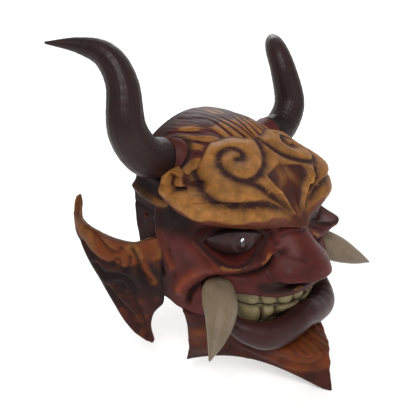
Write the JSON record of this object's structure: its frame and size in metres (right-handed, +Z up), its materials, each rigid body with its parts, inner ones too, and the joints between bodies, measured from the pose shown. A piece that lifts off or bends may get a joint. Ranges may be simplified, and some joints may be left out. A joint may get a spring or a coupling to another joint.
{
  "type": "horned demon mask",
  "caption": "Carved wooden demon mask with two swept horns, scrolled brow, tusks, grinning teeth, side wings and a pointed chin, hollow behind with cord holes at the temples.",
  "frame": {"origin": "midway between the two cord holes at the temples, on their common axis", "axes": "+X to the mask's own left along the cord holes, -Y out of the face, +Z up towards the crown"},
  "size_m": [0.247, 0.1969, 0.2653],
  "materials": {
    "carved_face": "red-brown lacquer over carved wood, rubbed ochre on the raised hair",
    "gilt_brow": "ochre and red-brown lacquer, rubbed through on the high edges",
    "horn_lacquer": "near-black brown lacquer, satin",
    "hardwood_dowel": "plain hardwood",
    "eye_lacquer": "dark brown lacquer, glossy",
    "bamboo": "plain bamboo",
    "wing_lacquer": "orange-brown lacquer, dark red at the hook",
    "chin_lacquer": "orange-brown lacquer with dark grooves",
    "lip_lacquer": "dark purple-brown lacquer, semi-gloss",
    "tooth_paint": "aged olive-ivory paint, semi-gloss",
    "tusk_paint": "grey-ivory paint, semi-gloss",
    "cotton_pad": "undyed cotton over wadding"
  },
  "bodies": {
    "root": {"face_shell": "carved_face", "left_brow": "gilt_brow", "right_brow": "gilt_brow", "left_horn": "horn_lacquer", "right_horn": "horn_lacquer", "left_horn_dowel": "hardwood_dowel", "right_horn_dowel": "hardwood_dowel", "left_eye": "eye_lacquer", "right_eye": "eye_lacquer", "left_wing": "wing_lacquer", "right_wing": "wing_lacquer", "left_wing_pins": "bamboo", "right_wing_pins": "bamboo", "chin_apron": "chin_lacquer", "apron_pins": "bamboo", "lower_lip": "lip_lacquer", "lip_pins": "bamboo", "upper_teeth": "tooth_paint", "lower_teeth": "tooth_paint", "left_tusk": "tusk_paint", "right_tusk": "tusk_paint", "left_tusk_pin": "bamboo", "right_tusk_pin": "bamboo", "left_brow_pins": "bamboo", "right_brow_pins": "bamboo", "forehead_pad": "cotton_pad", "left_cheek_pad": "cotton_pad", "right_cheek_pad": "cotton_pad"}
  },
  "joints": []
}
